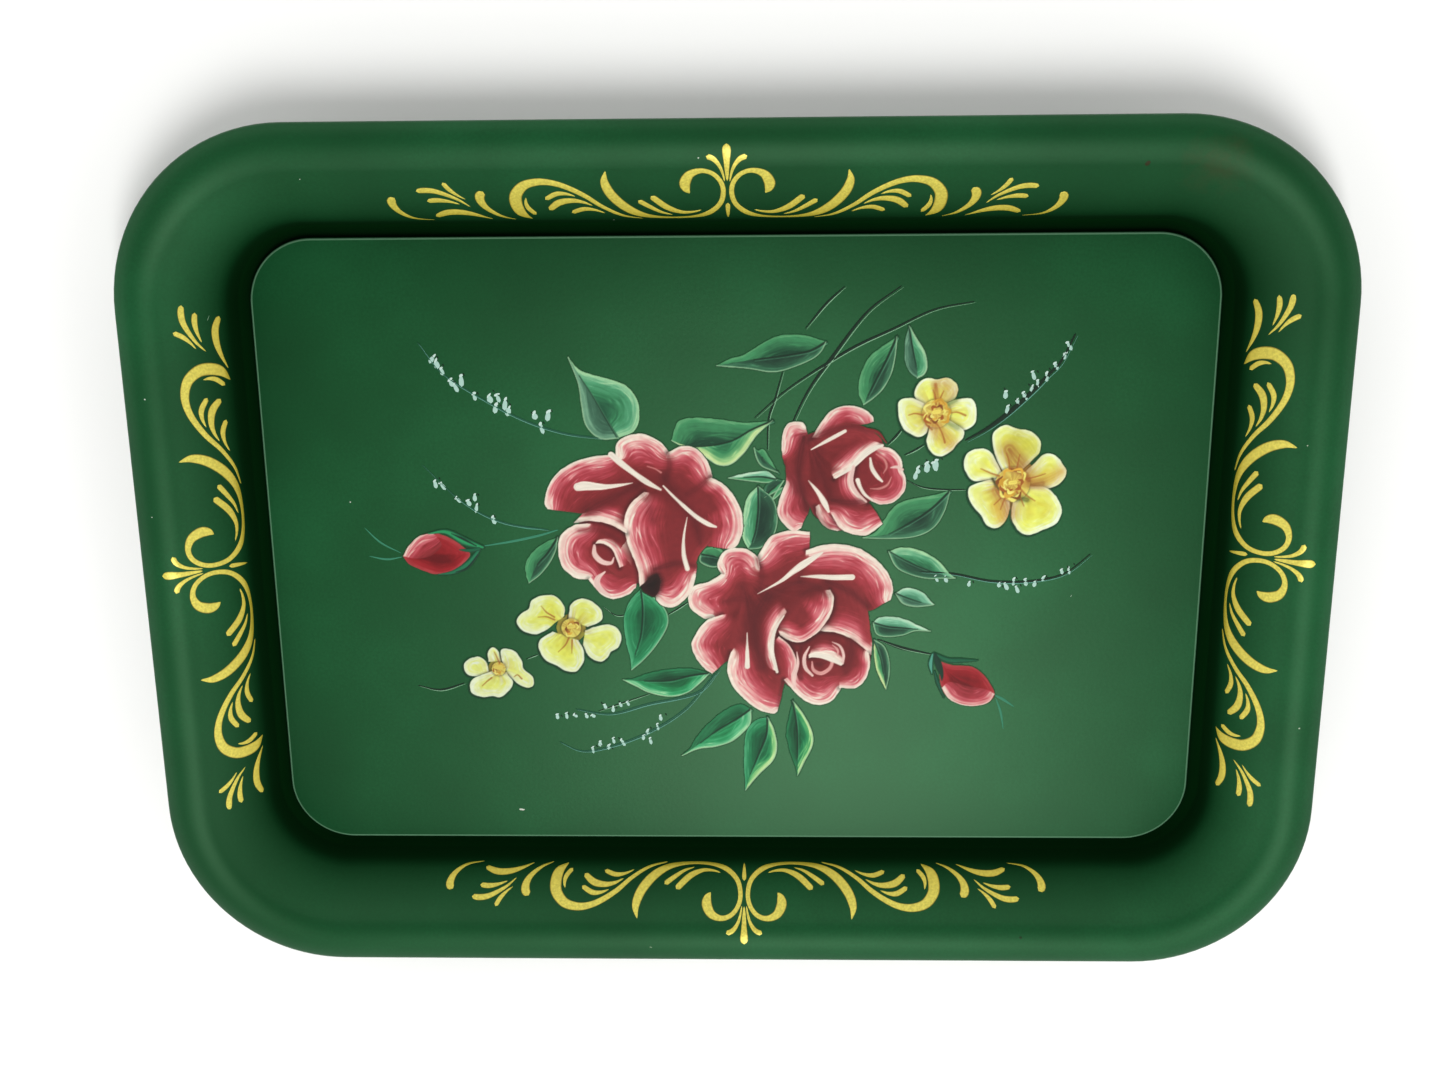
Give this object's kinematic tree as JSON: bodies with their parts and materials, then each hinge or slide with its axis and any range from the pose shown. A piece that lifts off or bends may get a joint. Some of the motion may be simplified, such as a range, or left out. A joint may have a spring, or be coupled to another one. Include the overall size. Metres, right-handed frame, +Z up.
{
  "type": "painted serving tray",
  "caption": "Rectangular pressed-steel serving tray with round corners, a raised panel and a wide rolled rim, painted with roses and gold scrolls.",
  "frame": {"origin": "under the middle of the tray, on the surface that it stands on", "axes": "+X along the tray's length, +Y across it towards the top of the painted bouquet, +Z up out of the pan"},
  "size_m": [0.4444, 0.3238, 0.032],
  "materials": {
    "green_enamel": "semi-matte baked green enamel",
    "steel_wire": "drawn",
    "gold_paint": "satin bronze-powder paint",
    "flower_paint": "satin brushed oil paint"
  },
  "bodies": {
    "root": {"tray_pan": "green_enamel", "rim_wire": "steel_wire"}
  },
  "joints": []
}
